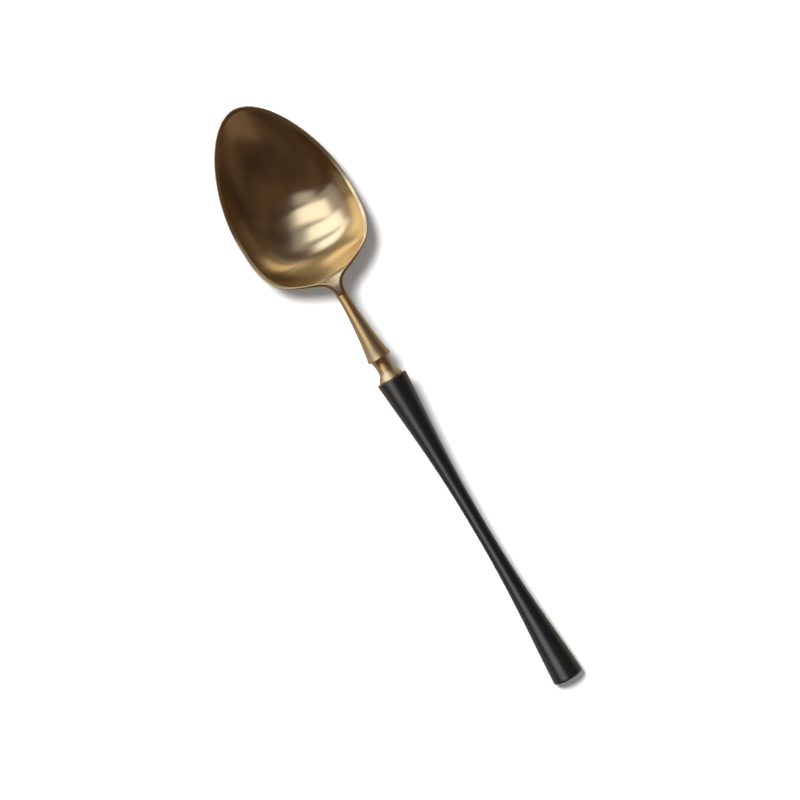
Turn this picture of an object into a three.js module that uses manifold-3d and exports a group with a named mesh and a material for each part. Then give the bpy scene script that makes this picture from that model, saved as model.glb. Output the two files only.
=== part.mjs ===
// A tablespoon in two finishes. The egg-shaped bowl and the turned neck are satin gold steel,
// and the turned handle, which narrows to a slim waist, is satin black.
// Millimetres, +Z up. The spoon lies as it rests on a table: +X points to the bowl's tip, and
// the flat under the bowl's belly and the rim of the handle's butt both touch z = 0. The origin
// is on the table, under the middle of the spoon.
//
// Four pieces: a bowl with a spigot on its tail, a neck bored at both ends, a handle with a
// blind bore, and the stud that joins neck and handle.

import * as THREE from "three";
import { mergeVertices } from "three/addons/utils/BufferGeometryUtils.js";
import Module from "manifold-3d";

// ---------------------------------------------------------------- driving dimensions

const FIT_GAP = 0.3; // clearance round each spigot and between each pair of seats
const END_GAP = 0.5; // free depth past the end of a spigot or stud

// Handle: a turned bar, from the flat butt to the shoulder that meets the neck.
const HANDLE_LENGTH = 111.5;
const HANDLE_TILT = THREE.MathUtils.degToRad(5.5); // its slope when the spoon lies on a table
const BUTT_DIAMETER = 10.2;
const BUTT_ROUND = 0.8; // rounding of the butt's rim
const BUTT_TAPER = 0.063; // radius lost per mm at the butt
const WAIST_DIAMETER = 4.5;
const WAIST_FROM_BUTT = 57.4;
const SHOULDER_DIAMETER = 10.2;
const SHOULDER_ROUND = 0.4;
const SHOULDER_TAPER = 0.072; // radius lost per mm at the shoulder

// Neck: a turned stem that swells to a sharp bead, then a cove and a flange.
const NECK_LENGTH = 30.3;
const FLANGE_DIAMETER = 8.2;
const FLANGE_EDGE = 0.35; // length of the flange's cylindrical edge
const COVE_DIAMETER = 5.3;
const COVE_FROM_FLANGE = 3.7; // from the flange's seat to the middle of the cove
const BEAD_DIAMETER = 7.9;
const BEAD_FROM_FLANGE = 7.6; // from the flange's seat to the bead's back edge
const BEAD_EDGE = 0.35;
const BEAD_STEP = 0.75; // how far the bead stands over the start of the cove
const STEM_DIAMETER = 3.5; // the thinnest part of the neck
const STEM_FROM_FRONT = 1.7;

// Stud: joins the neck and the handle inside their bores.
const STUD_DIAMETER = 2.8;
const STUD_IN_NECK = 10.5;
const STUD_IN_HANDLE = 13.5;
const STUD_CHAMFER = 0.4;

// Bowl: pressed from a blank that is thick at the tail and thin at the rim. Its outline is given
// by half widths at distances from the tip.
const TIP_TO_WIDEST = 38.2;
const WIDEST_TO_SHOULDER = 19.3;
const SHOULDER_TO_TAIL = 10.7;
const BOWL_WIDTH = 41.2;
const BOWL_SHOULDER_WIDTH = 29.8; // where the sides turn in to the heel
const BOWL_SHOULDER_ANGLE = THREE.MathUtils.degToRad(54); // the heel's slope in plan
const TAIL_DIAMETER = 3.7;
const BOWL_DEPTH = 9.5; // from the rim to the inside of the belly
const BOWL_FULLNESS = 0.5; // 0 is a parabola; more makes the sides steeper
const BELLY_WALL = 1.95;
const BELLY_FLAT = 0.17; // depth ground off under the belly, so that the spoon lies steady
const RIM_WALL = 0.95;
const RIM_LAND = 0.95; // width of the ground band on top of the rim
const RIM_FALL = 0.2; // how far the band falls to the inside
const TAIL_LAND = 0.05; // what is left of the band on the tail
const RIM_ROUND = 0.35; // the rim's outer rounding, in plan
const HEEL_BEND = 15; // length over which the heel bends down from the neck's line
const LEVEL_FROM = 7; // from here, ahead of the tail, the rim starts to level out
const LEVEL_TO = 42;
const TIP_LIFT = 0.08; // slope of the rim at the tip
const SPIGOT_DIAMETER = 1.9;
const SPIGOT_LENGTH = 4.5;

// ---------------------------------------------------------------- places

// The handle's axis rises from the middle of the butt, whose rim touches the table.
const buttRadius = BUTT_DIAMETER / 2;
const rimReach = buttRadius - BUTT_ROUND;
const buttX = rimReach * Math.sin(HANDLE_TILT) + BUTT_ROUND * (1 - Math.cos(HANDLE_TILT));
const buttZ = rimReach * Math.cos(HANDLE_TILT) + BUTT_ROUND * (1 - Math.sin(HANDLE_TILT));

// Distances along that axis, from the butt.
const neckStart = HANDLE_LENGTH + FIT_GAP;
const tailEnd = neckStart + NECK_LENGTH + FIT_GAP;

// Distances from the tip, and the spoon's length over all.
const shoulderFromTip = TIP_TO_WIDEST + WIDEST_TO_SHOULDER;
const tailFromTip = shoulderFromTip + SHOULDER_TO_TAIL;
const overallLength = buttX + tailEnd * Math.cos(HANDLE_TILT) + tailFromTip;
const tailRadius = TAIL_DIAMETER / 2;

// The height of the handle's axis above a point that is fromTip behind the tip.
function axisHeight(fromTip) {
  return buttZ + (overallLength - fromTip - buttX) * Math.tan(HANDLE_TILT);
}

// ---------------------------------------------------------------- curves

// Rises from 0 at a to 1 at b, level at both ends.
function smoothstep(a, b, x) {
  const u = THREE.MathUtils.clamp((x - a) / (b - a), 0, 1);
  return u * u * (3 - 2 * u);
}

// The height gained when a slope of 0 turns smoothly into a slope of 1 between a and b.
function bend(a, b, x) {
  const u = THREE.MathUtils.clamp((x - a) / (b - a), 0, 1);
  return (b - a) * (u ** 3 - u ** 4 / 2) + Math.max(x - b, 0);
}

// Points along a cubic curve through four control points, without the first one.
function cubic(points, steps) {
  const controls = points.map(([x, y]) => new THREE.Vector2(x, y));
  return new THREE.CubicBezierCurve(...controls).getPoints(steps).slice(1);
}

// The exact direction of a cubic curve at t.
function cubicDirection(curve, t) {
  const leg = (from, to, weight) => to.clone().sub(from).multiplyScalar(weight);
  return leg(curve.v0, curve.v1, (1 - t) ** 2)
    .add(leg(curve.v1, curve.v2, 2 * t * (1 - t)))
    .add(leg(curve.v2, curve.v3, t ** 2))
    .normalize();
}

// A quarter-round from one axis direction to the other, without its first point.
function round(cx, cy, radius, from, to, steps) {
  const points = [];
  for (let i = 1; i <= steps; i++) {
    const angle = from + ((to - from) * i) / steps;
    points.push(new THREE.Vector2(cx + radius * Math.cos(angle), cy + radius * Math.sin(angle)));
  }
  return points;
}

// ---------------------------------------------------------------- turned pieces

const TURNED_SIDES = 36;
const QUARTER = Math.PI / 2;
const point = (radius, along) => new THREE.Vector2(radius, along);

// The profiles run up the +Y axis, as (radius, distance from the piece's butt end).

function handleProfile() {
  const waist = WAIST_DIAMETER / 2;
  const shoulder = SHOULDER_DIAMETER / 2;
  const lower = WAIST_FROM_BUTT;
  const upper = HANDLE_LENGTH - WAIST_FROM_BUTT;
  const end = 0.35; // how far each curve keeps the taper of its end
  const middle = 0.44; // how far it runs level at the waist
  const bore = STUD_DIAMETER / 2 + FIT_GAP;
  const floor = HANDLE_LENGTH - STUD_IN_HANDLE - END_GAP;
  return [
    point(0, 0),
    point(rimReach, 0),
    ...round(rimReach, BUTT_ROUND, BUTT_ROUND, -QUARTER, 0, 4),
    ...cubic([
      [buttRadius, BUTT_ROUND],
      [buttRadius - BUTT_TAPER * end * lower, end * lower],
      [waist, lower - middle * lower],
      [waist, lower],
    ], 11),
    ...cubic([
      [waist, lower],
      [waist, lower + middle * upper],
      [shoulder - SHOULDER_TAPER * end * upper, HANDLE_LENGTH - end * upper],
      [shoulder, HANDLE_LENGTH - SHOULDER_ROUND],
    ], 11),
    ...round(shoulder - SHOULDER_ROUND, HANDLE_LENGTH - SHOULDER_ROUND, SHOULDER_ROUND,
      0, QUARTER, 3),
    point(bore, HANDLE_LENGTH),
    point(bore, floor),
    point(0, floor),
  ];
}

function neckProfile() {
  const flange = FLANGE_DIAMETER / 2;
  const cove = COVE_DIAMETER / 2;
  const bead = BEAD_DIAMETER / 2;
  const stem = STEM_DIAMETER / 2;
  const beadFront = BEAD_FROM_FLANGE + BEAD_EDGE;
  const stemAt = NECK_LENGTH - STEM_FROM_FRONT;
  const bore = STUD_DIAMETER / 2 + FIT_GAP;
  const boreFloor = STUD_IN_NECK + END_GAP;
  const socket = SPIGOT_DIAMETER / 2 + FIT_GAP;
  const socketFloor = NECK_LENGTH + FIT_GAP - SPIGOT_LENGTH - END_GAP;
  const coveRise = BEAD_FROM_FLANGE - COVE_FROM_FLANGE;
  const stemRise = stemAt - beadFront;
  return [
    point(0, boreFloor),
    point(bore, boreFloor),
    point(bore, 0),
    point(flange, 0),
    point(flange, FLANGE_EDGE),
    ...cubic([
      [flange, FLANGE_EDGE],
      [flange - 0.35, FLANGE_EDGE + 1],
      [cove, COVE_FROM_FLANGE - 1.7],
      [cove, COVE_FROM_FLANGE],
    ], 6),
    ...cubic([
      [cove, COVE_FROM_FLANGE],
      [cove, COVE_FROM_FLANGE + 0.55 * coveRise],
      [bead - BEAD_STEP - 0.1, BEAD_FROM_FLANGE - 0.8],
      [bead - BEAD_STEP, BEAD_FROM_FLANGE - 0.35],
    ], 5),
    point(bead, BEAD_FROM_FLANGE),
    point(bead, beadFront),
    ...cubic([
      [bead, beadFront],
      [bead - 1.1, beadFront + 0.2 * stemRise],
      [stem, stemAt - 0.2 * stemRise],
      [stem, stemAt],
    ], 10),
    ...cubic([
      [stem, stemAt],
      [stem, stemAt + 0.5 * STEM_FROM_FRONT],
      [tailRadius, NECK_LENGTH - 0.5 * STEM_FROM_FRONT],
      [tailRadius, NECK_LENGTH],
    ], 3),
    point(socket, NECK_LENGTH),
    point(socket, socketFloor),
    point(0, socketFloor),
  ];
}

function studProfile() {
  const radius = STUD_DIAMETER / 2;
  const length = STUD_IN_HANDLE + FIT_GAP + STUD_IN_NECK;
  return [
    point(0, 0),
    point(radius - STUD_CHAMFER, 0),
    point(radius, STUD_CHAMFER),
    point(radius, length - STUD_CHAMFER),
    point(radius - STUD_CHAMFER, length),
    point(0, length),
  ];
}

// ---------------------------------------------------------------- bowl

// The outline of one side in plan, from the tip to the tail, as three cubic curves. x is the
// distance from the tip and y the half width.
function bowlOutline() {
  const wide = BOWL_WIDTH / 2;
  const turn = BOWL_SHOULDER_WIDTH / 2;
  const heel = new THREE.Vector2(Math.cos(BOWL_SHOULDER_ANGLE), -Math.sin(BOWL_SHOULDER_ANGLE));
  const vector = (x, y) => new THREE.Vector2(x, y);
  const shoulder = vector(shoulderFromTip, turn);
  // These lengths say how far each curve keeps its end's direction.
  const nose = 10.2;
  const side = 18;
  const flank = 8;
  const corner = Math.min(6.5, (wide - turn) / Math.sin(BOWL_SHOULDER_ANGLE));
  const fillet = 9.8;
  const tail = 6.8;
  const curves = [
    [vector(0, 0), vector(0, nose), vector(TIP_TO_WIDEST - side, wide),
      vector(TIP_TO_WIDEST, wide)],
    [vector(TIP_TO_WIDEST, wide), vector(TIP_TO_WIDEST + flank, wide),
      shoulder.clone().addScaledVector(heel, -corner), shoulder],
    [shoulder, shoulder.clone().addScaledVector(heel, fillet),
      vector(tailFromTip - tail, tailRadius), vector(tailFromTip, tailRadius)],
  ];
  return curves.map((controls) => new THREE.CubicBezierCurve(...controls));
}

// How far the section at fromTip has turned from a thin rim into the tail's round bar.
function tailShare(fromTip) {
  return smoothstep(tailFromTip - 14, tailFromTip, fromTip);
}

function edgeThickness(fromTip) {
  return THREE.MathUtils.lerp(RIM_WALL, TAIL_DIAMETER, tailShare(fromTip));
}

// One station of the outline: its point, and that point moved in by the rounding and the band.
function bowlStation(curve, t) {
  const outline = curve.getPoint(t);
  const along = cubicDirection(curve, t);
  const outward = new THREE.Vector2(-along.y, along.x);
  const rounding = THREE.MathUtils.lerp(RIM_ROUND, 0.9 * tailRadius,
    smoothstep(tailFromTip - 12, tailFromTip - 0.8, outline.x));
  const land = THREE.MathUtils.lerp(RIM_LAND, TAIL_LAND,
    smoothstep(shoulderFromTip - 4, tailFromTip - 6, outline.x));
  const edge = outline.clone().addScaledVector(outward, -rounding);
  const mouth = edge.clone().addScaledVector(outward, -land);
  return { outline, outward, rounding, land, edge, mouth };
}

const bowlStations = [];
bowlOutline().forEach((curve, i) => {
  const steps = [15, 7, 13][i];
  for (let k = i ? 1 : 0; k <= steps; k++) bowlStations.push(bowlStation(curve, k / steps));
});

// The half width of a row of station points at any distance from the tip.
function halfWidth(key, fromTip) {
  const row = bowlStations.map((station) => station[key]);
  let i = row.findIndex((p) => p.x >= fromTip);
  if (i < 0) i = row.length - 1;
  const [a, b] = [row[Math.max(i - 1, 0)], row[Math.max(i, 1)]];
  const share = THREE.MathUtils.clamp((fromTip - a.x) / (b.x - a.x || 1), 0, 1);
  // squares are joined by straight lines, so the round tip stays round
  return Math.sqrt(THREE.MathUtils.lerp(a.y ** 2, b.y ** 2, share));
}

// Depth below the rim, as a share of the full depth: 0 at the edge of the given row and 1 in
// the middle of its widest place, steeper at the sides than a parabola.
function dish(key, fromTip, across) {
  const widest = Math.max(...bowlStations.map((station) => station[key].y));
  const share = (halfWidth(key, fromTip) ** 2 - across ** 2) / widest ** 2;
  return ((1 + BOWL_FULLNESS) * share) / (1 + BOWL_FULLNESS * share);
}

// The middle of the rim's edge leaves the handle's axis at the heel, bends down by the heel's
// slope, and levels out towards the tip.
function rimHeight(fromTip, heelSlope) {
  const start = tailFromTip - 0.7;
  const ahead = start - fromTip;
  if (ahead <= 0) return axisHeight(fromTip);
  const rise = Math.tan(HANDLE_TILT);
  return axisHeight(start) + ahead * rise
    - (rise + heelSlope) * bend(0, HEEL_BEND, ahead)
    + (heelSlope + TIP_LIFT) * bend(LEVEL_FROM, LEVEL_TO, ahead);
}

// The top of the rim, where its band meets the inside.
function mouthHeight(fromTip, heelSlope) {
  return rimHeight(fromTip, heelSlope) + edgeThickness(fromTip) / 2;
}

function insideHeight(fromTip, across, heelSlope) {
  return mouthHeight(fromTip, heelSlope) - BOWL_DEPTH * dish("mouth", fromTip, across);
}

function pressedUnderside(fromTip, across, heelSlope) {
  const depth = BOWL_DEPTH + BELLY_WALL - RIM_WALL;
  return rimHeight(fromTip, heelSlope) - edgeThickness(fromTip) / 2
    - depth * dish("edge", fromTip, across);
}

// The belly is ground flat where it would be under the table.
function undersideHeight(fromTip, across, heelSlope) {
  return Math.max(pressedUnderside(fromTip, across, heelSlope), 0);
}

// The heel is bent down until the belly is under the table by the depth that is ground off.
function seatedHeelSlope() {
  let [low, high] = [0, 3];
  for (let i = 0; i < 40; i++) {
    const slope = (low + high) / 2;
    let belly = Infinity;
    for (let s = 1; s < tailFromTip; s += 0.5) {
      belly = Math.min(belly, pressedUnderside(s, 0, slope));
    }
    if (belly > -BELLY_FLAT) low = slope;
    else high = slope;
  }
  return low;
}
const heelSlope = seatedHeelSlope();

// Where a station's rows start on the middle line: the rows fan out round the tip and lie
// straight across further back.
function fanCentre(fromTip) {
  const reach = 14; // how far the rows of the tip's own station run back
  const fade = 20; // how fast that dies away down the bowl
  return fromTip + reach * Math.exp(-((fromTip / fade) ** 2));
}

// A point in the spoon's frame. Near the tail the sections lean back, square to the neck.
function bowlPoint(fromTip, across, height) {
  const lean = HANDLE_TILT * smoothstep(tailFromTip - 10, tailFromTip - 1.2, fromTip);
  const middle = rimHeight(fromTip, heelSlope);
  const up = height - middle;
  const x = overallLength / 2 - fromTip - up * Math.sin(lean);
  return new THREE.Vector3(x, across, middle + up * Math.cos(lean));
}

// Half a section, from the middle of the inside, over the rim, to the middle of the underside.
function halfSection(station) {
  const { outward, rounding, land, edge, mouth } = station;
  const points = [];
  const centre = fanCentre(station.outline.x);
  const fan = (row, share) => new THREE.Vector2(
    THREE.MathUtils.lerp(centre, row.x, share), row.y * share);
  const insideRows = 7;
  for (let i = 0; i <= insideRows; i++) {
    const p = fan(mouth, i / insideRows);
    points.push(bowlPoint(p.x, p.y, insideHeight(p.x, p.y, heelSlope)));
  }
  // The band rises a little to the outside, then a cubic curve turns round the rim's edge.
  const fall = RIM_FALL * (land / RIM_LAND);
  const top = mouthHeight(edge.x, heelSlope) + fall;
  const bottom = undersideHeight(edge.x, edge.y, heelSlope);
  const wallSlope = 1 - tailShare(edge.x);
  const reach = (4 / 3) * rounding; // a cubic with this reach goes out by the rounding
  const across = [0, reach, reach, 0];
  const heights = [top, top + (RIM_FALL / RIM_LAND) * reach * wallSlope,
    bottom + wallSlope * reach, bottom];
  const edgeRows = 4;
  for (let i = 0; i <= edgeRows; i++) {
    const t = i / edgeRows;
    const weights = [(1 - t) ** 3, 3 * t * (1 - t) ** 2, 3 * t * t * (1 - t), t ** 3];
    const mix = (values) => values.reduce((sum, v, k) => sum + v * weights[k], 0);
    const p = edge.clone().addScaledVector(outward, mix(across));
    points.push(bowlPoint(p.x, p.y, mix(heights)));
  }
  const undersideRows = 6;
  for (let i = undersideRows - 1; i >= 0; i--) {
    const p = fan(edge, i / undersideRows);
    points.push(bowlPoint(p.x, p.y, undersideHeight(p.x, p.y, heelSlope)));
  }
  return points;
}

// The skin of the bowl: closed rings from the tip, where the two halves meet, to the tail,
// which is closed by a fan.
function bowlSkin() {
  const rings = bowlStations.map((station) => {
    const half = halfSection(station);
    const mirrored = half.slice(1, -1).reverse().map((p) => new THREE.Vector3(p.x, -p.y, p.z));
    return [...half, ...mirrored];
  });
  const size = rings[0].length;
  const triangles = [];
  for (let i = 1; i < rings.length; i++) {
    for (let k = 0; k < size; k++) {
      const next = (k + 1) % size;
      const [a, b] = [rings[i - 1][k], rings[i - 1][next]];
      const [c, d] = [rings[i][k], rings[i][next]];
      triangles.push(a, b, c, b, d, c);
    }
  }
  const tail = rings.at(-1);
  const middle = bowlPoint(tailFromTip, 0, rimHeight(tailFromTip, heelSlope));
  tail.forEach((p, k) => triangles.push(p, tail[(k + 1) % size], middle));
  return new THREE.BufferGeometry().setFromPoints(triangles);
}

// The spigot on the tail's end, in line with the neck.
function bowlSpigot() {
  const root = 1.5; // how far it starts inside the tail
  const spigot = new THREE.CylinderGeometry(SPIGOT_DIAMETER / 2, SPIGOT_DIAMETER / 2,
    SPIGOT_LENGTH + root, 24);
  spigot.rotateZ(QUARTER);
  spigot.translate((root - SPIGOT_LENGTH) / 2, 0, 0);
  spigot.rotateY(-HANDLE_TILT);
  const end = bowlPoint(tailFromTip, 0, rimHeight(tailFromTip, heelSlope));
  return spigot.translate(end.x, end.y, end.z);
}

const wasm = await Module();
wasm.setup();

function solidOf(geometry) {
  const bare = geometry.clone();
  bare.deleteAttribute("normal");
  bare.deleteAttribute("uv");
  const merged = mergeVertices(bare, 1e-4);
  return new wasm.Manifold(new wasm.Mesh({
    numProp: 3,
    vertProperties: merged.attributes.position.array,
    triVerts: new Uint32Array(merged.index.array),
  }));
}

function bowlGeometry() {
  const mesh = solidOf(bowlSkin()).add(solidOf(bowlSpigot())).getMesh();
  const geometry = new THREE.BufferGeometry();
  geometry.setAttribute("position", new THREE.BufferAttribute(mesh.vertProperties, 3));
  geometry.setIndex(new THREE.BufferAttribute(mesh.triVerts, 1));
  geometry.computeVertexNormals();
  return geometry;
}

// ---------------------------------------------------------------- materials and assembly

const satinGold = new THREE.MeshStandardMaterial({
  color: 0xc9a468, roughness: 0.28, metalness: 1,
});
const satinBlack = new THREE.MeshStandardMaterial({
  color: 0x1d1e20, roughness: 0.45, metalness: 0.4,
});
const plainSteel = new THREE.MeshStandardMaterial({
  color: 0xb4b6b8, roughness: 0.35, metalness: 1,
});

function turned(name, profile, material, along) {
  const mesh = new THREE.Mesh(new THREE.LatheGeometry(profile, TURNED_SIDES), material);
  mesh.name = name;
  mesh.position.y = along;
  return mesh;
}

// Turned pieces lie on the handle's axis: their +Y runs up it, from the butt to the neck.
const axis = new THREE.Group();
axis.position.set(buttX - overallLength / 2, 0, buttZ);
axis.rotation.set(0, -HANDLE_TILT, -QUARTER);
axis.add(
  turned("handle", handleProfile(), satinBlack, 0),
  turned("stud", studProfile(), plainSteel, HANDLE_LENGTH - STUD_IN_HANDLE),
  turned("neck", neckProfile(), satinGold, neckStart),
);

const bowl = new THREE.Mesh(bowlGeometry(), satinGold);
bowl.name = "bowl";

const spoon = new THREE.Group();
spoon.name = "spoon";
spoon.add(bowl, axis);

export default spoon;
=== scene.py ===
"""A tablespoon lying bowl up: a satin gold bowl and neck, and a satin black turned handle.

Shapes are worked out in millimetres and turned into metres when a mesh is made. Along the bowl,
distances are measured back from its tip; along the neck and handle, forward from the butt.
"""
import math

import bpy
import numpy as np
from mathutils import Matrix, Vector


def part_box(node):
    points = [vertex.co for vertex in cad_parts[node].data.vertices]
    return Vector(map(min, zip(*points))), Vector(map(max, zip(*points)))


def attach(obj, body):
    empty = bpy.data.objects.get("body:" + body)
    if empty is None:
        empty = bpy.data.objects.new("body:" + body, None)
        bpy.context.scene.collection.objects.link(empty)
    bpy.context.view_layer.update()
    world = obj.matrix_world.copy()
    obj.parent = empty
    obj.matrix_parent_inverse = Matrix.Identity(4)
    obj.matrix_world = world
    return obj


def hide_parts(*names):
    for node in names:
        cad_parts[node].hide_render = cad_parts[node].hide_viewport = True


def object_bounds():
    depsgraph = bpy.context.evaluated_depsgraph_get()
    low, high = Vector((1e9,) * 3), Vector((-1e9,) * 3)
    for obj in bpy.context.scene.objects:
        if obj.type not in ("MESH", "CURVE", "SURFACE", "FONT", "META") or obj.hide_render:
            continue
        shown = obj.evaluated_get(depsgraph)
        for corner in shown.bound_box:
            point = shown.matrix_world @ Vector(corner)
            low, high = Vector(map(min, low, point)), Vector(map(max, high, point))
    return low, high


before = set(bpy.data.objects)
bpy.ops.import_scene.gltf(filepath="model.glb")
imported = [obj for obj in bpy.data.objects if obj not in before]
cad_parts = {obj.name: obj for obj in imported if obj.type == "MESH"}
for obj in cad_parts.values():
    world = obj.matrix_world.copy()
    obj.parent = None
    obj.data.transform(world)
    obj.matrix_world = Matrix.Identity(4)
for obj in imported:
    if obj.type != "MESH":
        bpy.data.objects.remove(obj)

cad_box = [list(corner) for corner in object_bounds()]
MM = 0.001


# ---------------------------------------------------------------------------------------------
# Bowl. A steel blank pressed into an egg-shaped dish, thin at the rim and thick at the tail,
# with a narrow band ground flat round its rim. The tail is a short round bar with a spigot,
# which is brazed into the neck. All of it is coated satin gold.

bowl_low, bowl_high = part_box("bowl")
HANDLE_TILT = math.radians(5.5)  # slope of the handle's axis, which the tail runs out into
TIP_X = bowl_high.x / MM
BOWL_WIDTH = (bowl_high.y - bowl_low.y) / MM
TIP_TO_WIDEST = 38.2
SHOULDER_FROM_TIP = 57.5
SHOULDER_HALF_WIDTH = 14.9
SHOULDER_ANGLE = math.radians(54)
TAIL_FROM_TIP = 68.2
TAIL_RADIUS = 1.85
BOWL_DEPTH = 9.5
BOWL_FULLNESS = 0.5  # 0 is a parabola; more makes the sides steeper
BELLY_WALL = 1.95
BELLY_FLAT = 0.17  # ground off where it rests
RIM_WALL = 0.95
RIM_LAND = 0.95
RIM_FALL = 0.2
RIM_ROUND = 0.35
TAIL_LAND = 0.05
TAIL_ROUNDNESS = 0.9  # the tail's edges are rounded by this share of its radius
MOUTH_SOFTNESS = 0.12  # rounding where the band meets the inside
HEEL_BEND = 15
LEVEL_FROM = 7
LEVEL_TO = 42
TIP_LIFT = 0.08
SPIGOT_RADIUS = 0.95
SPIGOT_LENGTH = 4.5
SPIGOT_CHAMFER = 0.15

# How far the outline's curves pull straight on from the tip, widest place, shoulder and tail.
TIP_PULL = 10.2
WIDEST_PULLS = (18, 8)  # towards the tip, towards the tail
SHOULDER_PULLS = (6.5, 9.8)
TAIL_PULL = 6.8

# Where one thing turns gradually into another, measured from the tip.
HEEL_START = TAIL_FROM_TIP - 0.7
LAND_FADES = (SHOULDER_FROM_TIP - 4, TAIL_FROM_TIP - 6)
ROUNDING_GROWS = (TAIL_FROM_TIP - 12, TAIL_FROM_TIP - 0.8)
SECTION_THICKENS = (TAIL_FROM_TIP - 14, TAIL_FROM_TIP)
SECTION_LEANS = (TAIL_FROM_TIP - 10, TAIL_FROM_TIP - 1.2)
BRUSHING_COARSENS = (TAIL_FROM_TIP - 12, TAIL_FROM_TIP - 3)

# The axis of handle and neck starts in the middle of the butt, whose rim touches the table.
BUTT_RADIUS = 5.1
BUTT_ROUND = 0.8
RIM_REACH = BUTT_RADIUS - BUTT_ROUND
HANDLE_LENGTH = 111.5
NECK_LENGTH = 30.3
FIT_GAP = 0.3
TAIL_END = HANDLE_LENGTH + NECK_LENGTH + 2 * FIT_GAP
AXIS_DIRECTION = np.array([math.cos(HANDLE_TILT), 0, math.sin(HANDLE_TILT)])
BUTT_CENTRE = np.array([
    TIP_X - TAIL_FROM_TIP - TAIL_END * math.cos(HANDLE_TILT),
    0,
    RIM_REACH * math.cos(HANDLE_TILT) + BUTT_ROUND * (1 - math.sin(HANDLE_TILT)),
])


def smoothstep(a, b, x):
    """3u^2 - 2u^3, where u runs from 0 at a to 1 at b."""
    u = np.clip((x - a) / (b - a), 0, 1)
    return u * u * (3 - 2 * u)


def bend(a, b, x):
    """The integral of smoothstep: a slope of 0 that turns into a slope of 1 between a and b."""
    u = np.clip((x - a) / (b - a), 0, 1)
    return (b - a) * (u ** 3 - u ** 4 / 2) + np.maximum(x - b, 0)


def cubic(controls, t):
    """Four points weighted by (1-t)^3, 3t(1-t)^2, 3t^2(1-t) and t^3."""
    t = np.asarray(t, float)[..., None]
    weights = np.concatenate([(1 - t) ** 3, 3 * t * (1 - t) ** 2, 3 * t * t * (1 - t), t ** 3], -1)
    return weights @ np.array(controls, float)


def cubic_direction(controls, t):
    """The cubic's derivative: its three legs weighted by (1-t)^2, 2t(1-t) and t^2."""
    t = np.asarray(t, float)[..., None]
    legs = np.diff(np.array(controls, float), axis=0)
    return np.concatenate([(1 - t) ** 2, 2 * t * (1 - t), t * t], -1) @ legs


def bowl_rows(steps):
    """The outline of one side as three cubics, from tip to tail, and two rows inside it.

    The edge row is the outline moved in by the rim's rounding, the mouth row by the band too.
    """
    wide = BOWL_WIDTH / 2
    shoulder = np.array([SHOULDER_FROM_TIP, SHOULDER_HALF_WIDTH])
    heel = np.array([math.cos(SHOULDER_ANGLE), -math.sin(SHOULDER_ANGLE)])
    curves = [
        [(0, 0), (0, TIP_PULL), (TIP_TO_WIDEST - WIDEST_PULLS[0], wide), (TIP_TO_WIDEST, wide)],
        [(TIP_TO_WIDEST, wide), (TIP_TO_WIDEST + WIDEST_PULLS[1], wide),
         shoulder - SHOULDER_PULLS[0] * heel, shoulder],
        [shoulder, shoulder + SHOULDER_PULLS[1] * heel, (TAIL_FROM_TIP - TAIL_PULL, TAIL_RADIUS),
         (TAIL_FROM_TIP, TAIL_RADIUS)],
    ]
    points, outward = [], []
    for i, (curve, count) in enumerate(zip(curves, steps)):
        t = np.linspace(0, 1, count + 1)[min(i, 1):]
        along = cubic_direction(curve, t)
        along /= np.linalg.norm(along, axis=1, keepdims=True)
        points.append(cubic(curve, t))
        outward.append(np.stack([-along[:, 1], along[:, 0]], 1))
    outline, outward = np.concatenate(points), np.concatenate(outward)
    x = outline[:, 0]
    grown = smoothstep(*ROUNDING_GROWS, x)
    rounding = RIM_ROUND + (TAIL_ROUNDNESS * TAIL_RADIUS - RIM_ROUND) * grown
    land = RIM_LAND + (TAIL_LAND - RIM_LAND) * smoothstep(*LAND_FADES, x)
    edge = outline - rounding[:, None] * outward
    mouth = edge - land[:, None] * outward
    return {"outline": outline, "outward": outward, "rounding": rounding, "land": land,
            "edge": edge, "mouth": mouth}


# A very fine set of the same rows, in which half widths are looked up.
fine_rows = bowl_rows((1600, 600, 1000))


def tail_share(from_tip):
    """How far the section has turned from a thin rim into the tail's round bar."""
    return smoothstep(*SECTION_THICKENS, from_tip)


def edge_thickness(from_tip):
    """From the rim's thickness to the tail's diameter, in proportion to the tail's share."""
    return RIM_WALL + (2 * TAIL_RADIUS - RIM_WALL) * tail_share(from_tip)


def dish(row, from_tip, across):
    """Depth as a share of the full depth: (1+f)g / (1+fg), with g = (w^2 - across^2) / W^2.

    w is the row's half width there, W its widest one, and f the bowl's fullness.
    """
    x, squared = fine_rows[row][:, 0], fine_rows[row][:, 1] ** 2
    # w^2 runs on in a straight line ahead of the tip, at its slope over the first few rows.
    ahead, rows = 2, 20
    first = squared[0] - ahead * (squared[rows] - squared[0]) / (x[rows] - x[0])
    widths = np.interp(from_tip, np.append(x[0] - ahead, x), np.append(first, squared))
    g = (widths - across ** 2) / squared.max()
    return (1 + BOWL_FULLNESS) * g / (1 + BOWL_FULLNESS * g)


def axis_height(from_tip):
    """A straight line that climbs from the butt's middle at the handle's slope."""
    run = TIP_X - from_tip - BUTT_CENTRE[0]
    return BUTT_CENTRE[2] + run * math.tan(HANDLE_TILT)


def rim_height(from_tip, heel_slope):
    """The middle of the rim's edge: the neck's line, bent down at the heel and then levelled."""
    ahead = HEEL_START - from_tip
    rise = math.tan(HANDLE_TILT)
    bent = (axis_height(HEEL_START) + ahead * rise
            - (rise + heel_slope) * bend(0, HEEL_BEND, ahead)
            + (heel_slope + TIP_LIFT) * bend(LEVEL_FROM, LEVEL_TO, ahead))
    return np.where(ahead <= 0, axis_height(from_tip), bent)


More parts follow.
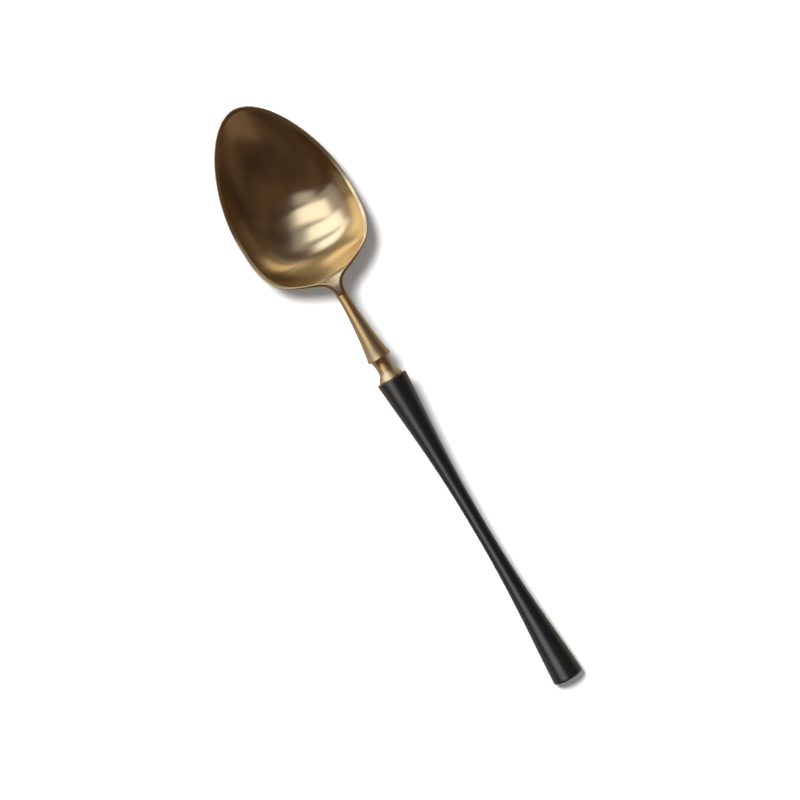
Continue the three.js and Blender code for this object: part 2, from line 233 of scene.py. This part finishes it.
def pressed_underside(from_tip, across, heel_slope):
    """The edge's lower side less the outer dish, which is deeper by the extra wall at the belly."""
    depth = BOWL_DEPTH + BELLY_WALL - RIM_WALL
    bottom = rim_height(from_tip, heel_slope) - edge_thickness(from_tip) / 2
    return bottom - depth * dish("edge", from_tip, across)


def seated_heel_slope():
    """Halving: the heel is bent down until the belly is under the table by what is ground off."""
    low, high = 0.0, 3.0
    places = np.arange(1, TAIL_FROM_TIP, 0.25)
    halvings = 40
    for _ in range(halvings):
        slope = (low + high) / 2
        if pressed_underside(places, 0 * places, slope).min() > -BELLY_FLAT:
            low = slope
        else:
            high = slope
    return low


HEEL_SLOPE = seated_heel_slope()


def underside_height(from_tip, across):
    """The pressed shape, ground flat where it would be under the table."""
    return np.maximum(pressed_underside(from_tip, across, HEEL_SLOPE), 0)


def inside_height(from_tip, across):
    """The smooth minimum of the dish, which runs on upwards past its mouth, and the band's edge."""
    top = rim_height(from_tip, HEEL_SLOPE) + edge_thickness(from_tip) / 2
    below = BOWL_DEPTH * dish("mouth", from_tip, across)
    share = np.clip(0.5 + 0.5 * below / MOUTH_SOFTNESS, 0, 1)
    return top - below * share - MOUTH_SOFTNESS * share * (1 - share)


def bowl_point(from_tip, across, height):
    """Puts a point in the spoon's frame. Near the tail, sections lean back square to the neck."""
    lean = HANDLE_TILT * smoothstep(*SECTION_LEANS, from_tip)
    middle = rim_height(from_tip, HEEL_SLOPE)
    up = height - middle
    x = TIP_X - from_tip - up * np.sin(lean)
    return np.stack([x, across, middle + up * np.cos(lean)], -1)


# Points in one half section: over the inside, the band, the rounded edge and the underside.
INSIDE_POINTS, BAND_POINTS, EDGE_POINTS, UNDERSIDE_POINTS = 61, 9, 12, 48
FAN_REACH = 14  # the tip's sections start this far behind the tip, and others less and less
FAN_FADE = 20
CROWDING = 1.5  # 1 is even spacing; more crowds the points towards the mouth


def bowl_half_sections(rows):
    """One half section per station, from the inside's middle over the rim to the underside's.

    A station's middle is moved back by reach * exp(-(from tip / fade)^2), so that sections fan
    out round the tip. The second result is 1 for points on the band and the edge, 0 elsewhere.
    """
    column = {name: values[:, None] for name, values in rows.items()}
    start = rows["outline"][:, 0]
    centre = (start + FAN_REACH * np.exp(-(start / FAN_FADE) ** 2))[:, None]

    # Inside: rows fan out from the middle line, and are closest together at the mouth.
    share = 1 - (1 - np.linspace(0, 1, INSIDE_POINTS)) ** CROWDING
    x = centre + (column["mouth"][..., 0] - centre) * share
    y = column["mouth"][..., 1] * share
    inside = bowl_point(x, y, inside_height(x, y))

    # Band: straight across, rising a little to the outside.
    share = np.linspace(0, 1, BAND_POINTS + 1)[1:] ** CROWDING
    across = column["mouth"] + (column["edge"] - column["mouth"]) * share[:, None]
    rise = RIM_FALL * column["land"] / RIM_LAND
    x, y = across[..., 0], across[..., 1]
    band = bowl_point(x, y, inside_height(x, y) + rise * share)

    # Edge: a cubic that leaves the band, goes out by the rounding and meets the wall's slope.
    edge_x, edge_y = column["edge"][..., 0], column["edge"][..., 1]
    top = inside_height(edge_x, edge_y) + rise
    bottom = underside_height(edge_x, edge_y)
    wall = 1 - tail_share(edge_x)
    reach = 4 / 3 * column["rounding"]
    heights = [top, top + RIM_FALL / RIM_LAND * reach * wall, bottom + wall * reach, bottom]
    t = np.linspace(0, 1, EDGE_POINTS + 1)[1:]
    weights = [(1 - t) ** 3, 3 * t * (1 - t) ** 2, 3 * t * t * (1 - t), t ** 3]
    out = reach * (weights[1] + weights[2])
    place = column["edge"] + out[..., None] * column["outward"]
    height = sum(h * w for h, w in zip(heights, weights))
    edge = bowl_point(place[..., 0], place[..., 1], height)

    # Underside: rows fan back in to the middle line.
    share = np.linspace(1, 0, UNDERSIDE_POINTS + 1)[1:]
    x = centre + (edge_x - centre) * share
    y = edge_y * share
    underside = bowl_point(x, y, underside_height(x, y))

    sections = np.concatenate([inside, band, edge, underside], 1)
    on_rim = np.zeros(sections.shape[1])
    on_rim[INSIDE_POINTS:-UNDERSIDE_POINTS] = 1
    return sections, on_rim


def closed_loft(rings, zipped_half=None):
    """Faces of a skin over rings of equal size, and the rings as one list of points.

    The last ring is closed by a fan. The first one is closed by a fan too, or, where zipped_half
    gives how many of its points make one side, by joining its two sides.
    """
    count, size = rings.shape[:2]
    index = np.arange(count * size).reshape(count, size)
    if zipped_half:
        index[0, zipped_half:] = index[0, 1:zipped_half - 1][::-1]
    after = np.roll(index, -1, axis=1)
    quads = np.stack([index[:-1], after[:-1], after[1:], index[1:]], -1).reshape(-1, 4)
    points = [rings.reshape(-1, 3), rings[-1:].mean(1)]
    end = count * size
    fans = [np.stack([index[-1], after[-1], np.full(size, end)], -1)]
    if not zipped_half:
        points.append(rings[:1].mean(1))
        fans.append(np.stack([after[0], index[0], np.full(size, end + 1)], -1))
    return np.concatenate(points), quads, np.concatenate(fans)


def add_piece(name, points, quads, triangles, sharp_angle=50):
    """Makes a smooth mesh, in metres, from points in millimetres, and leaves out spare points."""
    used = np.zeros(len(points), bool)
    used[quads.ravel()] = True
    used[triangles.ravel()] = True
    number = np.cumsum(used) - 1
    mesh = bpy.data.meshes.new(name)
    faces = number[quads].tolist() + number[triangles].tolist()
    mesh.from_pydata((points[used] * MM).tolist(), [], faces)
    mesh.update()
    mesh.shade_smooth()
    mesh.set_sharp_from_angle(angle=math.radians(sharp_angle))
    piece = bpy.data.objects.new(name, mesh)
    bpy.context.scene.collection.objects.link(piece)
    return piece, used


def make_bowl():
    """Half sections joined to their mirror images, with the spigot's rings after the last."""
    rows = bowl_rows((110, 45, 95))
    half, on_rim = bowl_half_sections(rows)
    side = half.shape[1]
    mirrored = half[:, -2:0:-1] * [1, -1, 1]
    rings = np.concatenate([half, mirrored], 1)
    on_rim = np.concatenate([on_rim, on_rim[-2:0:-1]])

    # The spigot: the tail's last ring drawn in to the spigot's radius and carried on.
    middle = bowl_point(TAIL_FROM_TIP, 0.0, rim_height(TAIL_FROM_TIP, HEEL_SLOPE))
    spoke = rings[-1] - middle
    spoke *= SPIGOT_RADIUS / np.linalg.norm(spoke, axis=1, keepdims=True)
    along = np.array([0, 0.04, SPIGOT_LENGTH - SPIGOT_CHAMFER, SPIGOT_LENGTH])
    size = np.array([1, 1, 1, 1 - SPIGOT_CHAMFER])
    spigot = middle + size[:, None, None] * spoke - along[:, None, None] * AXIS_DIRECTION
    rings = np.concatenate([rings, spigot])

    points, quads, fans = closed_loft(rings, side)
    bowl, used = add_piece("bowl_dish", points, quads, fans)

    # How far each point belongs to the rim's ground band, and how far to the brushed tail.
    from_tip = rows["outline"][:, :1]
    rim = np.zeros(rings.shape[:2])
    rim[:len(half)] = on_rim * (1 - tail_share(from_tip))
    tail = np.ones(rings.shape[:2])
    tail[:len(half)] = smoothstep(*BRUSHING_COARSENS, from_tip)
    for name, values in (("ground_rim", rim), ("brushed_tail", tail)):
        layer = bowl.data.attributes.new(name, "FLOAT", "POINT")
        values = np.append(values.ravel(), values[-1, 0])[used]
        layer.data.foreach_set("value", values.astype(np.float32))
    return bowl


bowl = make_bowl()


def linear(code):
    """sRGB hex to linear: ((c + 0.055) / 1.055)^2.4, or c / 12.92 in the darkest tones."""
    values = [int(code[i:i + 2], 16) / 255 for i in (1, 3, 5)]
    return [v / 12.92 if v <= 0.04045 else ((v + 0.055) / 1.055) ** 2.4 for v in values] + [1]


def add_node(tree, kind, inputs=None, **settings):
    """Adds a node, sets its settings, and links or sets each of its inputs."""
    node = tree.nodes.new(kind)
    for name, value in settings.items():
        setattr(node, name, value)
    for name, value in (inputs or {}).items():
        if isinstance(value, bpy.types.NodeSocket):
            tree.links.new(value, node.inputs[name])
        else:
            node.inputs[name].default_value = value
    return node


def new_material(name):
    """An empty node material and its tree."""
    material = bpy.data.materials.new(name)
    material.use_nodes = True
    material.node_tree.nodes.clear()
    return material, material.node_tree


def satin_gold_steel(name, smoothest, roughest):
    """Stainless steel, brushed lengthwise and then vapour coated in a pale warm gold.

    It gives clear reflections that the brushing smears across the spoon, with faint streaks
    along it. The tail is brushed as coarsely as the neck, and the rim's band is left as ground,
    a little duller than the dish.
    """
    GROUND_ROUGHNESS = 0.3
    TAIL_ROUGHNESS = 0.34
    MARK_SQUEEZE = 0.04  # a brush mark is 25 times as long as it is wide
    STREAK = 0.22 * MM  # width of a brush mark, drawn coarser than the real 0.03 mm so it shows
    CLOUD = 14 * MM  # size of the slow changes in the coating's tone
    material, tree = new_material(name)
    place = add_node(tree, "ShaderNodeTexCoord").outputs["Object"]
    level = add_node(tree, "ShaderNodeMapping", {
        "Vector": place, "Rotation": (0, HANDLE_TILT, 0),
    }, vector_type="POINT").outputs["Vector"]
    marks = add_node(tree, "ShaderNodeVectorMath", {0: level, 1: (MARK_SQUEEZE, 1, 1)},
                     operation="MULTIPLY").outputs[0]
    brushing = add_node(tree, "ShaderNodeTexNoise", {
        "Vector": marks, "Scale": 1 / STREAK, "Detail": 3.0, "Roughness": 0.6,
    }).outputs["Fac"]
    clouds = add_node(tree, "ShaderNodeTexNoise", {
        "Vector": place, "Scale": 1 / CLOUD, "Detail": 2.0,
    }).outputs["Fac"]
    tone = add_node(tree, "ShaderNodeMix", {
        "Factor": clouds, 6: linear("#E1CAA0"), 7: linear("#E8D5AD"),
    }, data_type="RGBA").outputs[2]
    rim = add_node(tree, "ShaderNodeAttribute", attribute_name="ground_rim").outputs["Fac"]
    tail = add_node(tree, "ShaderNodeAttribute", attribute_name="brushed_tail").outputs["Fac"]
    satin = add_node(tree, "ShaderNodeMapRange", {
        "Value": brushing, "To Min": smoothest, "To Max": roughest,
    }).outputs[0]
    banded = add_node(tree, "ShaderNodeMapRange", {
        "Value": rim, "To Min": satin, "To Max": GROUND_ROUGHNESS,
    }).outputs[0]
    rough = add_node(tree, "ShaderNodeMapRange", {
        "Value": tail, "To Min": banded, "To Max": TAIL_ROUGHNESS,
    }).outputs[0]
    bump = add_node(tree, "ShaderNodeBump", {
        "Height": brushing, "Strength": 0.12, "Distance": 0.01 * MM,
    }).outputs["Normal"]
    across = add_node(tree, "ShaderNodeCombineXYZ", {"Y": 1.0}).outputs[0]
    shader = add_node(tree, "ShaderNodeBsdfPrincipled", {
        "Base Color": tone, "Metallic": 1.0, "Roughness": rough, "Anisotropic": 0.8,
        "Tangent": across, "Normal": bump,
    })
    add_node(tree, "ShaderNodeOutputMaterial", {"Surface": shader.outputs[0]})
    return material


bowl.data.materials.append(satin_gold_steel("satin_gold_dish", 0.16, 0.23))
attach(bowl, "root")
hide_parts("bowl")


# ---------------------------------------------------------------------------------------------
# Neck. A stem turned from steel bar: thin behind the bowl, swelling to a sharp-edged bead,
# then a cove and a flange that seats on the handle. It is coated like the bowl. Its front is
# bored for the bowl's spigot and its back for the joining stud.

FLANGE_RADIUS = 4.1
FLANGE_EDGE = 0.35
COVE_RADIUS = 2.65
COVE_AT = 3.7
BEAD_RADIUS = 3.95
BEAD_AT = 7.6
BEAD_EDGE = 0.35
BEAD_STEP = 0.75
STEM_RADIUS = 1.75
STEM_FROM_FRONT = 1.7
STUD_RADIUS = 1.4
STUD_IN_NECK = 10.5
END_GAP = 0.5
SEAT = 0.03  # what is left between two seats that touch
SEAT_ROUND = 0.12
BEAD_ROUND = 0.1

# How far the neck's curves pull on from their ends, along the axis, and how much they narrow.
FLARE_PULL = 1
FLARE_NARROWS = 0.35
COVE_PULLS = (1.7, 0.55)  # mm towards the flange; share of the way to the bead
STEP_PULL = 0.45
STEP_NARROWS = 0.1
STEP_LIP = 0.35
SWELL_PULL = 0.2  # share of the stem's length, at each end
SWELL_NARROWS = 1.1
FRONT_PULL = 0.5 * STEM_FROM_FRONT


def arc_corner(profile, radius):
    """Rounds each corner of a run of points with the middle of a parabola that touches both sides.

    The parabola is (1-t)^2 a + 2t(1-t) corner + t^2 b, and a and b are a radius from the corner.
    """
    profile = np.array(profile, float)
    before = profile[:-2] - profile[1:-1]
    after = profile[2:] - profile[1:-1]
    cut = np.minimum(radius, 0.45 * np.minimum(
        np.linalg.norm(before, axis=1), np.linalg.norm(after, axis=1)))[:, None]
    a = profile[1:-1] + cut * before / np.linalg.norm(before, axis=1, keepdims=True)
    b = profile[1:-1] + cut * after / np.linalg.norm(after, axis=1, keepdims=True)
    t = np.linspace(0, 1, 5)[None, :, None]
    corner = profile[1:-1, None]
    curve = (1 - t) ** 2 * a[:, None] + 2 * t * (1 - t) * corner + t * t * b[:, None]
    return np.concatenate([profile[:1], curve.reshape(-1, 2), profile[-1:]])


def turned_piece(name, profile, start, sides=128):
    """A profile of (radius, distance) carried round the handle's axis, closed on it at each end."""
    profile = np.asarray(profile, float)
    inner = profile[1:-1]
    angle = np.linspace(0, 2 * math.pi, sides, endpoint=False)
    upright = np.array([-math.sin(HANDLE_TILT), 0, math.cos(HANDLE_TILT)])
    spokes = np.cos(angle)[:, None] * upright + np.sin(angle)[:, None] * [0, 1, 0]
    centres = BUTT_CENTRE + (start + inner[:, 1])[:, None] * AXIS_DIRECTION
    rings = centres[:, None] + inner[:, 0][:, None, None] * spokes
    points, quads, fans = closed_loft(rings)
    points[-2] = BUTT_CENTRE + (start + profile[-1, 1]) * AXIS_DIRECTION
    points[-1] = BUTT_CENTRE + (start + profile[0, 1]) * AXIS_DIRECTION
    return add_piece(name, points, quads[:, ::-1], fans[:, ::-1])[0]


def neck_profile():
    """Straight bores and seats, joined by cubics for the cove and the swelling stem."""
    length = NECK_LENGTH + 2 * (FIT_GAP - SEAT)
    stem_at = length - STEM_FROM_FRONT
    bead_front = BEAD_AT + BEAD_EDGE
    rise = stem_at - bead_front
    bore = STUD_RADIUS + FIT_GAP
    socket = SPIGOT_RADIUS + FIT_GAP
    floor = length + SEAT - SPIGOT_LENGTH - END_GAP
    t = np.linspace(0, 1, 25)
    step_radius, step_at = BEAD_RADIUS - BEAD_STEP, BEAD_AT - STEP_LIP
    flare = cubic([(FLANGE_RADIUS, FLANGE_EDGE),
                   (FLANGE_RADIUS - FLARE_NARROWS, FLANGE_EDGE + FLARE_PULL),
                   (COVE_RADIUS, COVE_AT - COVE_PULLS[0]), (COVE_RADIUS, COVE_AT)], t)
    cove = cubic([(COVE_RADIUS, COVE_AT),
                  (COVE_RADIUS, COVE_AT + COVE_PULLS[1] * (BEAD_AT - COVE_AT)),
                  (step_radius - STEP_NARROWS, step_at - STEP_PULL), (step_radius, step_at)], t)
    swell = cubic([(BEAD_RADIUS, bead_front),
                   (BEAD_RADIUS - SWELL_NARROWS, bead_front + SWELL_PULL * rise),
                   (STEM_RADIUS, stem_at - SWELL_PULL * rise), (STEM_RADIUS, stem_at)],
                  np.linspace(0, 1, 61))
    front = cubic([(STEM_RADIUS, stem_at), (STEM_RADIUS, stem_at + FRONT_PULL),
                   (TAIL_RADIUS, length - FRONT_PULL), (TAIL_RADIUS, length)],
                  np.linspace(0, 1, 9))
    back = arc_corner([(bore, 0), (FLANGE_RADIUS, 0), flare[0]], SEAT_ROUND)
    bead = arc_corner([cove[-1], (BEAD_RADIUS, BEAD_AT), swell[0], swell[1]], BEAD_ROUND)
    depth = STUD_IN_NECK + END_GAP
    return np.concatenate([
        [(0, depth), (bore, depth)], back, flare[1:], cove[1:-1], bead, swell[2:], front[1:],
        [(socket, length), (socket, floor), (0, floor)],
    ])


neck = turned_piece("neck_stem", neck_profile(), HANDLE_LENGTH + SEAT)
neck.data.materials.append(satin_gold_steel("satin_gold_turned", 0.28, 0.36))
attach(neck, "root")
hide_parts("neck")


# ---------------------------------------------------------------------------------------------
# Stud. A plain rod turned from stainless steel and bonded in the bores of neck and handle.
# Nothing of it shows once the spoon is together, so its CAD body is kept and only given a look.


def turned_steel():
    """Bare stainless steel straight from the lathe: neutral grey, with fine rings round it."""
    RING = 0.3 * MM  # feed marks, drawn as coarse as they need to show
    material, tree = new_material("turned_steel")
    place = add_node(tree, "ShaderNodeTexCoord").outputs["Object"]
    rings = add_node(tree, "ShaderNodeTexNoise", {
        "Vector": add_node(tree, "ShaderNodeVectorMath", {0: place, 1: (1, 0.05, 0.05)},
                           operation="MULTIPLY").outputs[0],
        "Scale": 1 / RING, "Detail": 2.0,
    }).outputs["Fac"]
    rough = add_node(tree, "ShaderNodeMapRange", {
        "Value": rings, "To Min": 0.25, "To Max": 0.4,
    }).outputs[0]
    tone = add_node(tree, "ShaderNodeMix", {
        "Factor": rings, 6: linear("#B9BCBE"), 7: linear("#C8CACC"),
    }, data_type="RGBA").outputs[2]
    shader = add_node(tree, "ShaderNodeBsdfPrincipled", {
        "Base Color": tone, "Metallic": 1.0, "Roughness": rough,
    })
    add_node(tree, "ShaderNodeOutputMaterial", {"Surface": shader.outputs[0]})
    return material


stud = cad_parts["stud"]
stud.data.materials.clear()
stud.data.materials.append(turned_steel())


# ---------------------------------------------------------------------------------------------
# Handle. A steel bar turned to a long hourglass, with a narrow shoulder at the neck and a flat
# butt, and coated satin black. A blind bore takes the joining stud.

WAIST_RADIUS = 2.25
WAIST_FROM_BUTT = 57.4
BUTT_TAPER = 0.063
SHOULDER_RADIUS = 5.1
SHOULDER_ROUND = 0.4
SHOULDER_TAPER = 0.072
STUD_IN_HANDLE = 13.5
END_PULL = 0.35  # share of the way to the waist that each end's taper pulls straight on
WAIST_PULL = 0.44


def handle_profile():
    """Two cubics that leave each end along its taper and meet level at the waist."""
    lower, upper = WAIST_FROM_BUTT, HANDLE_LENGTH - WAIST_FROM_BUTT
    bore = STUD_RADIUS + FIT_GAP
    floor = HANDLE_LENGTH - STUD_IN_HANDLE - END_GAP
    t = np.linspace(0, 1, 71)
    quarter = np.linspace(0, math.pi / 2, 9)
    butt = np.stack([RIM_REACH + BUTT_ROUND * np.sin(quarter),
                     BUTT_ROUND * (1 - np.cos(quarter))], 1)
    body = cubic([(BUTT_RADIUS, BUTT_ROUND),
                  (BUTT_RADIUS - BUTT_TAPER * END_PULL * lower, END_PULL * lower),
                  (WAIST_RADIUS, (1 - WAIST_PULL) * lower), (WAIST_RADIUS, lower)], t)
    top = cubic([(WAIST_RADIUS, lower), (WAIST_RADIUS, lower + WAIST_PULL * upper),
                 (SHOULDER_RADIUS - SHOULDER_TAPER * END_PULL * upper,
                  HANDLE_LENGTH - END_PULL * upper),
                 (SHOULDER_RADIUS, HANDLE_LENGTH - SHOULDER_ROUND)], t)
    shoulder = np.stack([SHOULDER_RADIUS - SHOULDER_ROUND * (1 - np.cos(quarter)),
                         HANDLE_LENGTH - SHOULDER_ROUND * (1 - np.sin(quarter))], 1)
    return np.concatenate([
        [(0, 0)], butt, body[1:], top[1:], shoulder[1:],
        [(bore, HANDLE_LENGTH), (bore, floor), (0, floor)],
    ])


def satin_black_coating():
    """Steel with a thin satin black coating, baked on over a turned surface.

    It gives a near-black body with one soft grey streak. Very faint rings run round it.
    """
    COAT_ROUGHNESS = 0.34
    COAT_IOR = 1.5
    RING = 0.35 * MM  # turning marks under the coating, coarser than real ones so they show
    GRAIN = 0.12 * MM
    material, tree = new_material("satin_black_coating")
    place = add_node(tree, "ShaderNodeTexCoord").outputs["Object"]
    level = add_node(tree, "ShaderNodeMapping", {
        "Vector": place, "Rotation": (0, HANDLE_TILT, 0),
    }, vector_type="POINT").outputs["Vector"]
    rings = add_node(tree, "ShaderNodeTexNoise", {
        "Vector": add_node(tree, "ShaderNodeVectorMath", {0: level, 1: (1, 0.05, 0.05)},
                           operation="MULTIPLY").outputs[0],
        "Scale": 1 / RING, "Detail": 2.0,
    }).outputs["Fac"]
    grain = add_node(tree, "ShaderNodeTexNoise", {
        "Vector": place, "Scale": 1 / GRAIN, "Detail": 2.0,
    }).outputs["Fac"]
    rough = add_node(tree, "ShaderNodeMapRange", {
        "Value": rings, "To Min": 0.34, "To Max": 0.42,
    }).outputs[0]
    tone = add_node(tree, "ShaderNodeMix", {
        "Factor": grain, 6: linear("#07090C"), 7: linear("#0C0F13"),
    }, data_type="RGBA").outputs[2]
    fine = add_node(tree, "ShaderNodeBump", {
        "Height": grain, "Strength": 0.15, "Distance": 0.01 * MM,
    }).outputs["Normal"]
    bump = add_node(tree, "ShaderNodeBump", {
        "Height": rings, "Strength": 0.1, "Distance": 0.01 * MM, "Normal": fine,
    }).outputs["Normal"]
    shader = add_node(tree, "ShaderNodeBsdfPrincipled", {
        "Base Color": tone, "Roughness": rough, "IOR": COAT_IOR, "Coat Weight": 1.0,
        "Coat Roughness": COAT_ROUGHNESS, "Coat IOR": COAT_IOR, "Normal": bump,
    })
    add_node(tree, "ShaderNodeOutputMaterial", {"Surface": shader.outputs[0]})
    return material


handle = turned_piece("handle_grip", handle_profile(), 0)
handle.data.materials.append(satin_black_coating())
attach(handle, "root")
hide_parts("handle")


# ---------------------------------------------------------------------------------------------
# Studio. A matt white table top and a camera straight above the spoon. One key light throws
# the shadow, and a row of soft boxes and a dim room are there for the metal to mirror.

FLOOR_HALF = 3.0
CAMERA_HEIGHT = 1.15
VIEW_WIDTH = 0.2567  # width of the table that the picture takes in
SPOON_TURN = math.radians(30.65)  # the spoon's slope away from the picture's upright
VIEW_SHIFT_DOWN = 0.0015
VIEW_SHIFT_LEFT = 0.0005
SENSOR_WIDTH = 36  # mm
PANEL_DISTANCE = 1.5
PANEL_TURN = 0.34  # how much a panel drops towards the tip, per metre across


def make_floor():
    """A flat square with its middle under the spoon, in matt white painted board.

    To the eye it is even and pale. In reflections it is greyer, a painted shade that a real board
    doesn't have, which keeps the lower edges of the metal and of the handle dark.
    """
    corners = np.array([(-1, -1, 0), (1, -1, 0), (1, 1, 0), (-1, 1, 0)]) * FLOOR_HALF
    mesh = bpy.data.meshes.new("table_top")
    mesh.from_pydata(corners.tolist(), [], [(0, 1, 2, 3)])
    floor = bpy.data.objects.new("table_top", mesh)
    bpy.context.scene.collection.objects.link(floor)
    material, tree = new_material("matt_white_board")
    reflected = add_node(tree, "ShaderNodeLightPath").outputs["Is Glossy Ray"]
    # Painted shade: the board turns a dull grey-brown only where the metal mirrors it, and stays
    # white to the eye.
    board_tone_and_reflected_shade = add_node(tree, "ShaderNodeMix", {
        "Factor": reflected, 6: linear("#F4F4F4"), 7: linear("#8A7F74"),
    }, data_type="RGBA").outputs[2]
    shader = add_node(tree, "ShaderNodeBsdfPrincipled", {"Base Color": board_tone_and_reflected_shade, "Roughness": 0.9})
    add_node(tree, "ShaderNodeOutputMaterial", {"Surface": shader.outputs[0]})
    mesh.materials.append(material)
    return floor


make_floor()

low, high = (np.array(corner) for corner in cad_box)
middle = (low + high) / 2

right = np.array([-math.sin(SPOON_TURN), -math.cos(SPOON_TURN), 0])
up = np.array([math.cos(SPOON_TURN), -math.sin(SPOON_TURN), 0])
camera_data = bpy.data.cameras.new("camera")
camera_data.sensor_width = SENSOR_WIDTH
camera_data.lens = SENSOR_WIDTH * CAMERA_HEIGHT / VIEW_WIDTH
camera_data.clip_end = 20
camera = bpy.data.objects.new("camera", camera_data)
bpy.context.scene.collection.objects.link(camera)
place = middle * [1, 1, 0] - VIEW_SHIFT_DOWN * up - VIEW_SHIFT_LEFT * right
camera.matrix_world = Matrix([
    [right[0], up[0], 0, place[0]],
    [right[1], up[1], 0, place[1]],
    [0, 0, 1, CAMERA_HEIGHT],
    [0, 0, 0, 1],
])
bpy.context.scene.camera = camera


def add_soft_box(name, direction, distance, size, strength, colour="#FFFFFF", long_side=(1, 0, 0)):
    """A rectangular lamp that faces the spoon from a direction.

    Its power is the strength, which is its radiance, times pi and its area.
    """
    data = bpy.data.lights.new(name, "AREA")
    data.shape = "RECTANGLE"
    data.size, data.size_y = size
    data.energy = strength * math.pi * size[0] * size[1]
    data.color = linear(colour)[:3]
    lamp = bpy.data.objects.new(name, data)
    bpy.context.scene.collection.objects.link(lamp)
    back = Vector(direction).normalized()
    side = Vector(long_side)
    side = (side - back * side.dot(back)).normalized()
    top = back.cross(side)
    lamp.matrix_world = Matrix([
        [side[0], top[0], back[0], middle[0] + distance * back[0]],
        [side[1], top[1], back[1], middle[1] + distance * back[1]],
        [side[2], top[2], back[2], distance * back[2]],
        [0, 0, 0, 1],
    ])
    lamp.visible_camera = False
    return lamp


# The key light throws the shadow. It is left out of reflections, which show the row of boxes.
key = add_soft_box("key_light", (0.3, 0.1, 1), 1.4, (0.32, 0.32), 75)
key.visible_glossy = False


def add_panel(name, lean, sideways, strength, colour="#F1F5FF"):
    """A soft box given by its edges, as angles seen from the spoon.

    lean is from the upright towards the bowl's tip, sideways is from that direction across.
    Each box is turned a little about the line to the spoon, so that it leans more further across.
    """
    lean = np.radians(lean)
    sideways = np.tan(np.radians(sideways))
    middle_lean = lean.mean()
    direction = (math.sin(middle_lean), sideways.mean(), math.cos(middle_lean))
    size = (PANEL_DISTANCE * (sideways[1] - sideways[0]),
            2 * PANEL_DISTANCE * math.tan((lean[1] - lean[0]) / 2))
    reach = PANEL_DISTANCE * math.sqrt(1 + sideways.mean() ** 2)
    long_side = (PANEL_TURN * math.cos(middle_lean), 1, -PANEL_TURN * math.sin(middle_lean))
    box = add_soft_box(name, direction, reach, size, strength, colour, long_side)
    box.visible_diffuse = False
    return box


# A tall window beyond the bowl, split by three bars, the dim curtain and sill round it, and
# the faint light of the room behind.
add_panel("window_top", (-2, 13), (8, 34), 0.62)
add_panel("window_upper", (17, 39), (-3, 41), 1.3)
add_panel("window_middle", (45, 66), (-3, 44), 1.4)
add_panel("window_low", (72, 88), (-3, 46), 1.5)
add_panel("curtain", (15, 86), (-30, 60), 0.32)
add_panel("sill", (86, 89.5), (-60, 60), 0.4)
add_panel("room_side", (-72, -46), (-30, 20), 0.12, "#F2D6BC")

# Strips over the spoon's length. Each lights one turned piece alone, so the bowl stays dark.
for piece, sideways, strength, colour in (
        (neck, (6, 50), 1.15, "#FFEBC4"), (handle, (10, 48), 1.8, "#FFFDFA")):
    strip = add_panel("strip_over_" + piece.name, (-30, 8), sideways, strength, colour)
    lit = bpy.data.collections.new("lit_by_" + strip.name)
    lit.objects.link(piece)
    strip.light_linking.receiver_collection = lit

# The surround is plain white light to the table. To reflections it is a dim brown room, with
# large soft patches where things stand in it.
world = bpy.data.worlds.new("studio")
world.use_nodes = True
world.node_tree.nodes.clear()
rays = add_node(world.node_tree, "ShaderNodeLightPath").outputs
direction = add_node(world.node_tree, "ShaderNodeTexCoord").outputs["Generated"]
things = add_node(world.node_tree, "ShaderNodeTexNoise", {
    "Vector": direction, "Scale": 2.2, "Detail": 1.0,
}).outputs["Fac"]
spread = add_node(world.node_tree, "ShaderNodeMapRange", {
    "Value": things, "From Min": 0.35, "From Max": 0.65,
}).outputs[0]
dark = add_node(world.node_tree, "ShaderNodeMix", {
    "Factor": spread, 6: linear("#4D3730"), 7: linear("#91745E"),
}, data_type="RGBA").outputs[2]
room = add_node(world.node_tree, "ShaderNodeMix", {
    "Factor": rays["Is Glossy Ray"], 6: linear("#FFFFFF"), 7: dark,
}, data_type="RGBA").outputs[2]
sky = add_node(world.node_tree, "ShaderNodeBackground", {"Color": room, "Strength": 0.33})
add_node(world.node_tree, "ShaderNodeOutputWorld", {"Surface": sky.outputs[0]})
bpy.context.scene.world = world
bpy.context.scene.view_settings.view_transform = "Standard"
